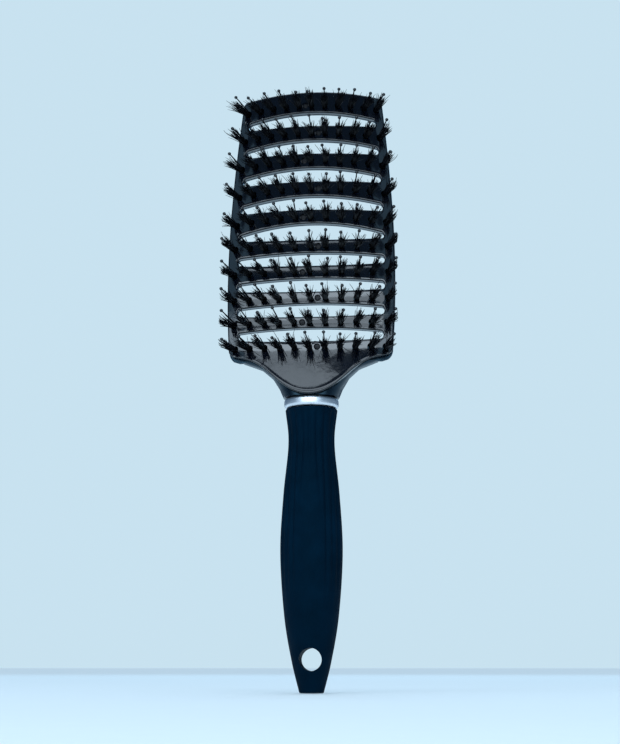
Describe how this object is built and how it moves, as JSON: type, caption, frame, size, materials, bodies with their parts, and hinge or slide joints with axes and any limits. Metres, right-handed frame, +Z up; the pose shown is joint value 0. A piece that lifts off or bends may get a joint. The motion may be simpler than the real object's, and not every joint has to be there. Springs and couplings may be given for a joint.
{
  "type": "vented hair brush",
  "caption": "Upright vented styling brush: slotted glossy head with boar tufts and ball-tipped pins, silver collar ring, fluted soft-touch handle with a hang hole.",
  "frame": {"origin": "centre of the flat end face of the handle", "axes": "+Z up the brush from the handle end to the head, -Y the way the bristles point, X across the head's width"},
  "size_m": [0.071, 0.0322, 0.2456],
  "materials": {
    "head_gloss": "high gloss black with a blue tint",
    "shell_satin": "semi-gloss black",
    "boar_bristle": "black natural bristle",
    "nylon_pin": "black nylon with a bright ball tip",
    "draw_wire": "drawn wire",
    "rivet": "gloss black",
    "ring_silver": "satin silver",
    "core_plastic": "as moulded",
    "grip_soft_touch": "soft-touch matt"
  },
  "bodies": {
    "root": {"head_front_plate": "head_gloss", "head_back_shell": "shell_satin", "boar_tuft_row_01": "boar_bristle", "boar_tuft_row_02": "boar_bristle", "boar_tuft_row_03": "boar_bristle", "boar_tuft_row_04": "boar_bristle", "boar_tuft_row_05": "boar_bristle", "boar_tuft_row_06": "boar_bristle", "boar_tuft_row_07": "boar_bristle", "boar_tuft_row_08": "boar_bristle", "boar_tuft_row_09": "boar_bristle", "boar_tuft_row_10": "boar_bristle", "ball_pin_row_01": "nylon_pin", "ball_pin_row_02": "nylon_pin", "ball_pin_row_03": "nylon_pin", "ball_pin_row_04": "nylon_pin", "ball_pin_row_05": "nylon_pin", "ball_pin_row_06": "nylon_pin", "ball_pin_row_07": "nylon_pin", "ball_pin_row_08": "nylon_pin", "ball_pin_row_09": "nylon_pin", "ball_pin_row_10": "nylon_pin", "draw_wire_01": "draw_wire", "draw_wire_02": "draw_wire", "draw_wire_03": "draw_wire", "draw_wire_04": "draw_wire", "draw_wire_05": "draw_wire", "draw_wire_06": "draw_wire", "draw_wire_07": "draw_wire", "draw_wire_08": "draw_wire", "draw_wire_09": "draw_wire", "draw_wire_10": "draw_wire", "plate_rivet_01": "rivet", "plate_rivet_02": "rivet", "plate_rivet_03": "rivet", "plate_rivet_04": "rivet", "plate_rivet_05": "rivet", "plate_rivet_06": "rivet", "plate_rivet_07": "rivet", "plate_rivet_08": "rivet", "plate_rivet_09": "rivet", "plate_rivet_10": "rivet", "collar_ring": "ring_silver", "handle_core": "core_plastic", "grip_sleeve": "grip_soft_touch"}
  },
  "joints": []
}
